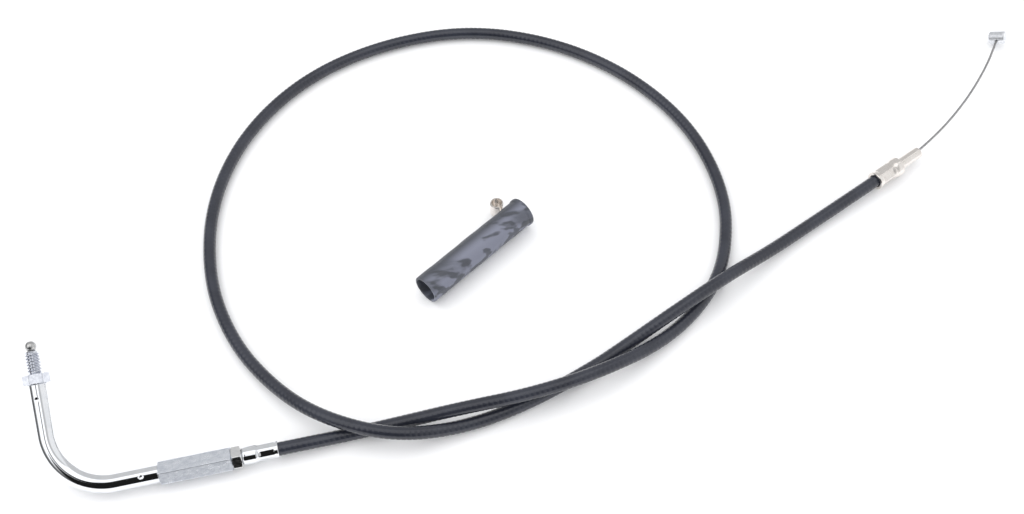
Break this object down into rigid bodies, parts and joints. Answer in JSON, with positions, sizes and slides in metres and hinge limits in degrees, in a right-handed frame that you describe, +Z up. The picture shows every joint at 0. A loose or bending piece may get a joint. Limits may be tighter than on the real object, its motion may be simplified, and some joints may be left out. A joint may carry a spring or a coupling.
{
  "type": "throttle cable",
  "caption": "Sheathed throttle control cable with a swivelling elbow, screw adjuster, crimped end ferrule, bare wire with a barrel end, loose boot and slotted ferrule.",
  "frame": {"origin": "on the surface the cable lies on, under the adjuster's long hexagon coupling, 0.85 mm from its middle", "axes": "+X along the adjuster's axis from the elbow towards the casing, +Z up from the surface the cable lies on, +Y to the side the elbow's arm leans"},
  "size_m": [0.4957, 0.2328, 0.038],
  "materials": {
    "zinc_plate": "satin zinc plate with a faint mottle",
    "bright_zinc": "bright zinc plate",
    "chrome": "polished",
    "nickel": "polished, slightly warm",
    "machined_steel": "machined and plated",
    "cast_zinc": "dull, as cast",
    "wire_steel": "stranded, galvanised",
    "vinyl": "half gloss with a fine spiral rib",
    "nylon": "natural",
    "boot_rubber": "matte"
  },
  "bodies": {
    "casing": {"casing_jacket": "vinyl", "casing_conduit": "wire_steel", "casing_liner": "nylon", "inner_wire": "wire_steel", "adjuster_stem": "machined_steel", "casing_ferrule": "chrome", "end_ferrule": "nickel"},
    "sleeve": {"swivel_sleeve": "machined_steel"},
    "coupling": {"adjuster_coupling": "zinc_plate"},
    "jam_nut": {"jam_nut": "bright_zinc"},
    "elbow": {"elbow_tube": "chrome", "elbow_liner": "nylon", "elbow_wire": "wire_steel"},
    "stud": {"housing_stud": "machined_steel"},
    "ball": {"ball_end": "machined_steel", "ball_wire": "wire_steel"},
    "barrel": {"barrel_end": "cast_zinc", "barrel_wire": "wire_steel"},
    "boot": {"adjuster_boot": "boot_rubber"},
    "spare": {"spare_ferrule": "nickel"}
  },
  "joints": [
    {"name": "adjuster_travel", "type": "slide", "parent": "casing", "child": "sleeve", "axis": [-1, 0, 0], "range_m": [0, 0.0082]},
    {"name": "coupling_turn", "type": "hinge", "parent": "sleeve", "child": "coupling", "pos_m": [0, 0, 0.00476], "axis": [-1, 0, 0], "range_deg": [0, 3240]},
    {"name": "jam_nut_turn", "type": "hinge", "parent": "sleeve", "child": "jam_nut", "pos_m": [0, 0, 0.00476], "axis": [-1, 0, 0], "range_deg": [0, 3240]},
    {"name": "elbow_swivel", "type": "hinge", "parent": "sleeve", "child": "elbow", "pos_m": [0, 0, 0.00476], "axis": [1, 0, 0], "continuous": true},
    {"name": "stud_swivel", "type": "hinge", "parent": "elbow", "child": "stud", "pos_m": [-0.0563, 0.03984, 0.02776], "axis": [0, 0.866, 0.5], "continuous": true},
    {"name": "wire_pull", "type": "slide", "parent": "elbow", "child": "ball", "axis": [0, 0.866, 0.5], "range_m": [0, 0.025]},
    {"name": "barrel_draw", "type": "hinge", "parent": "casing", "child": "barrel", "pos_m": [0.25097, 0.28342, 0.0047], "axis": [0, 0, -1], "range_deg": [0, 6.46]},
    {"name": "boot_lift", "type": "slide", "parent": "casing", "child": "boot", "axis": [0, 0, 1], "range_m": [0, 0.06]},
    {"name": "spare_ferrule_lift", "type": "slide", "parent": "casing", "child": "spare", "axis": [0, 0, 1], "range_m": [0, 0.06]}
  ],
  "couplings": [
    {"joint": "adjuster_travel", "follows": "coupling_turn", "m_per_rad": 0.00014435},
    {"joint": "jam_nut_turn", "follows": "coupling_turn", "ratio": 1},
    {"joint": "barrel_draw", "follows": "wire_pull", "rad_per_m": 4.5045}
  ]
}
